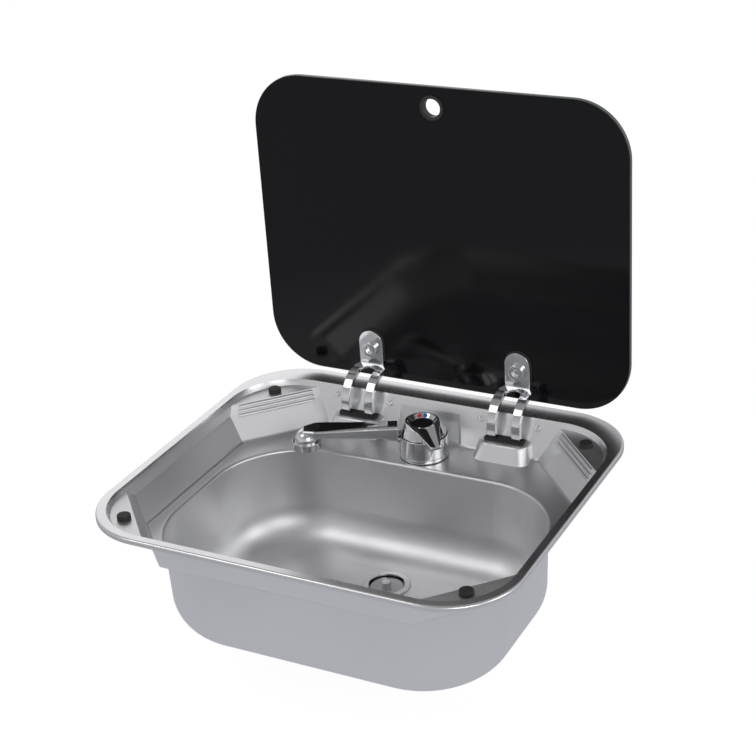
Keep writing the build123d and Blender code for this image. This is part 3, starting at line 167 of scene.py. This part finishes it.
def satin_steel(name, tint, low, high, band=None):
    """Pressed metal sheet: fine grain, faint cloudy change in gloss and tint.

    band is the change in roughness of the flat rim, which is pressed against a polished tool."""
    p = Paint(name, tint, low, 1.0)
    gloss = p.spread(p.noise(*STEEL_GLOSS), low, high)
    if band is not None:
        height = along(p.tree, p.coord.outputs["Object"], "Z")
        gloss = compute(p.tree, "ADD", ramp(p.tree, height, 0.0, band, *RIM_FADE), gloss)
    p.rough(gloss)
    p.color(p.noise(*STEEL_TINT), tuple(STEEL_DARKER * c for c in tint), tint)
    p.bump(p.noise(*STEEL_GRAIN), STEEL_BUMP)
    return p.mat


def chrome(name, tint, rough):
    """Plated metal, with its sharp edges rounded to the eye."""
    p = Paint(name, tint, rough, 1.0)
    p.rough(p.spread(p.noise(*CHROME_GLOSS), rough, rough + CHROME_GLOSS_RANGE))
    edge = add(p.tree, "ShaderNodeBevel", samples=EDGE_SAMPLES)
    edge.inputs["Radius"].default_value = CHROME_EDGE
    p.bump(p.noise(*CHROME_GRAIN), CHROME_BUMP, edge.outputs["Normal"])
    return p.mat


def plastic(name, one, two, low, high, grain=500, height=0.1):
    """Moulded plastic or rubber, between two tints and two roughnesses."""
    p = Paint(name, one, low)
    p.color(p.noise(*PLASTIC_TINT), one, two)
    p.rough(p.spread(p.noise(*PLASTIC_GLOSS), low, high))
    p.bump(p.noise(grain, PLASTIC_GRAIN_DETAIL), height)
    return p.mat


def tinted_glass(name, low, high, **fixed):
    """Black toughened glass whose ground edge is pale."""
    p = Paint(name, GLASS_BLACK, low, **fixed)
    p.rough(p.spread(p.noise(*GLASS_GLOSS), low, high))
    facing = compute(p.tree, "ABSOLUTE", along(p.tree, p.coord.outputs["Normal"], "Y"))
    p.color(ramp(p.tree, facing, 1.0, 0.0, *GLASS_EDGE_SPAN), GLASS_BLACK, GLASS_EDGE)
    return p.mat


# name, tint, least and most roughness
steel = satin_steel("steel_satin", (0.77, 0.772, 0.79), 0.36, 0.44, -0.14)
polished = satin_steel("steel_polished", (0.6, 0.6, 0.61), 0.1, 0.16)
plug_steel = satin_steel("steel_plug", (0.36, 0.36, 0.37), 0.12, 0.2)
plain_steel = satin_steel("steel_plain", (0.5, 0.5, 0.51), 0.3, 0.42)
bright = chrome("chrome_bright", (0.7, 0.705, 0.72), 0.05)
# name, two tints, least and most roughness, grain per metre, strength of bump
rubber = plastic("rubber_black", (0.012, 0.012, 0.012), (0.022, 0.022, 0.023),
                 0.55, 0.7, 900, 0.2)
gloss_black = plastic("black_gloss", (0.006, 0.006, 0.007), (0.012, 0.012, 0.013),
                      0.12, 0.2, 300, 0.03)
moulded = plastic("black_moulded", (0.02, 0.02, 0.021), (0.03, 0.03, 0.032), 0.35, 0.45, 700)
grey = plastic("grey_moulded", (0.62, 0.63, 0.64), (0.7, 0.71, 0.72), 0.3, 0.4, height=0.05)
red = plastic("red_mark", (0.5, 0.015, 0.012), (0.58, 0.02, 0.015), 0.25, 0.35)
blue = plastic("blue_mark", (0.01, 0.09, 0.42), (0.015, 0.11, 0.5), 0.25, 0.35)
brass = satin_steel("brass_nut", (0.72, 0.54, 0.26), 0.28, 0.4)
copper = satin_steel("copper_tail", (0.78, 0.42, 0.28), 0.25, 0.38)
glass = tinted_glass("glass_dark", 0.07, 0.12, IOR=1.5, Specular_IOR_Level=0.34)


def both(*stems):
    """The left and right node of each stem."""
    return [f"{stem}_{side}" for stem in stems for side in ("left", "right")]


LOOK = {
    steel: ["sink_shell", "plug_knob"],
    polished: ["waste_flange"],
    plug_steel: ["drain_plug"],
    plain_steel: [*both("hinge_pin", "hinge_bracket"), "tap_washer", "lever_spindle",
                  "lever_yoke", "lever_pin", "drain_screw"],
    bright: [*both("hinge_arm", "clamp_screw", "clamp_cap"), "hinge_screws", "tap_body",
             "cartridge_ring", "spout", "aerator", "control_lever"],
    rubber: [*both("hinge_pad", "cap_washer", "slot_gasket"), "rim_seal", "lid_bumpers",
             "tap_gasket", "tap_orings", "waste_gasket", "plug_seal"],
    gloss_black: ["spout_inlay", "lever_inlay"],
    moulded: ["waste_body", "waste_spigot", "finger_grommet"],
    grey: ["cartridge"],
    red: ["hot_mark"],
    blue: ["cold_mark"],
    brass: ["tap_nut"],
    copper: ["inlet_tail_hot", "inlet_tail_cold"],
    glass: ["glass_lid"],
}
for paint, names in LOOK.items():
    for name in names:
        NODE[name].data.materials.clear()
        NODE[name].data.materials.append(paint)

# ---------------------------------------------------------------- stage
FLOOR_HALF, FLOOR_GAP = 30, 0.0005
PAPER, PAPER_ROUGH = (0.86, 0.86, 0.86), 0.9
PAPER_GLOW = 0.86                       # share of glow over lit paper, which keeps the shadow
FLOOR_TO_CAMERA = 1.09                  # white, with the share of lit paper
FLOOR_NEAR, FLOOR_FAR = 0.6, 0.3        # the painted glow that metal and glass show, a pool of light near the sink
FLOOR_FADE = (0.42, 0.75)               # distances from the origin, from near to far
FLOOR_TINT = (0.95, 0.975, 1.03)
HORIZON, ZENITH = 0.7, 0.32             # the sky that metal and glass show
SKY_FADE = (0.1, 0.8)                   # the direction's Z, from horizon to zenith
BEHIND, AMBIENT = 1.0, 0.5              # the world to the camera, and as plain light
WHITE = (1, 1, 1)

floor_z = CAD_BOX[0].z - FLOOR_GAP
signs = ((-1, -1), (1, -1), (1, 1), (-1, 1))
corners = [(x * FLOOR_HALF, y * FLOOR_HALF, floor_z) for x, y in signs]
floor_mesh = bpy.data.meshes.new("floor")
floor_mesh.from_pydata(corners, [], [(0, 1, 2, 3)])
floor = bpy.data.objects.new("floor", floor_mesh)
bpy.context.collection.objects.link(floor)


def background_rays(tree):
    """Two outputs: 1 for camera rays, and 1 for camera, glossy and transmission rays."""
    rays = add(tree, "ShaderNodeLightPath").outputs
    total = rays["Is Camera Ray"]
    for name in ("Is Glossy Ray", "Is Transmission Ray"):
        total = compute(tree, "MAXIMUM", total, rays[name])
    return rays["Is Camera Ray"], total


def mixed(tree, fac, one, two):
    """Shader one where fac is 0, two where it is 1."""
    mix = add(tree, "ShaderNodeMixShader")
    feed(tree, mix.inputs["Fac"], fac)
    tree.links.new(one, mix.inputs[1])
    tree.links.new(two, mix.inputs[2])
    return mix.outputs["Shader"]


def glow(tree, kind, level, color=WHITE):
    """An emitter or background of the given strength."""
    made = add(tree, kind)
    made.inputs["Color"].default_value = (*color, 1)
    feed(tree, made.inputs["Strength"], level)
    return made.outputs[0]


# floor: white to the camera; in metal and glass a painted pool of light, pale near the sink and
# darker farther off
paper = bpy.data.materials.new("paper")
paper.use_nodes = True
tree = paper.node_tree
soft = tree.nodes["Principled BSDF"]
soft.inputs["Base Color"].default_value = (*PAPER, 1)
soft.inputs["Roughness"].default_value = PAPER_ROUGH
lit_paper = soft.outputs["BSDF"]
camera_ray, seen = background_rays(tree)
reach = add(tree, "ShaderNodeVectorMath", operation="LENGTH")
tree.links.new(add(tree, "ShaderNodeNewGeometry").outputs["Position"], reach.inputs[0])
# painted pool of light: the glow seen in metal and glass fades with distance from the sink
fade = ramp(tree, reach.outputs["Value"], FLOOR_NEAR, FLOOR_FAR, *FLOOR_FADE)
bright_floor = mixed(tree, camera_ray,
                     glow(tree, "ShaderNodeEmission", fade, FLOOR_TINT),
                     glow(tree, "ShaderNodeEmission", FLOOR_TO_CAMERA))
shown = mixed(tree, PAPER_GLOW, lit_paper, bright_floor)
tree.links.new(mixed(tree, seen, lit_paper, shown),
               tree.nodes["Material Output"].inputs["Surface"])
floor_mesh.materials.append(paper)

# studio: pale at the horizon and greyer overhead in metal and glass, white to the camera
world = bpy.data.worlds.new("studio")
bpy.context.scene.world = world
world.use_nodes = True
tree = world.node_tree
sky = tree.nodes["Background"]
sky.inputs["Color"].default_value = (*WHITE, 1)
way = along(tree, add(tree, "ShaderNodeTexCoord").outputs["Generated"], "Z")
feed(tree, sky.inputs["Strength"], ramp(tree, way, HORIZON, ZENITH, *SKY_FADE))
camera_ray, seen = background_rays(tree)
backdrop = mixed(tree, camera_ray, sky.outputs["Background"],
                 glow(tree, "ShaderNodeBackground", BEHIND))
tree.links.new(mixed(tree, seen, glow(tree, "ShaderNodeBackground", AMBIENT), backdrop),
               tree.nodes["World Output"].inputs["Surface"])


def lamp(name, at, size, power):
    """A soft rectangular lamp aimed at the origin: metres and watts."""
    data = bpy.data.lights.new(name, "AREA")
    data.shape, data.size, data.size_y = "RECTANGLE", size[0], size[1]
    data.energy = power
    made = bpy.data.objects.new(name, data)
    made.location = at
    made.rotation_mode = "QUATERNION"
    made.rotation_quaternion = (-Vector(at)).to_track_quat("-Z", "Y")
    made.visible_camera = False
    bpy.context.collection.objects.link(made)


lamp("back_left", (-1.74, 1.74, 1.10), (2.2, 1.6), 6)
lamp("front_left", (-1.23, -1.23, 2.07), (1.2, 1.2), 8)
lamp("front_right", (1.77, -1.77, 1.01), (1.4, 1.2), 13)
lamp("right", (2.47, 0.09, 1.10), (1.3, 1.3), 11)
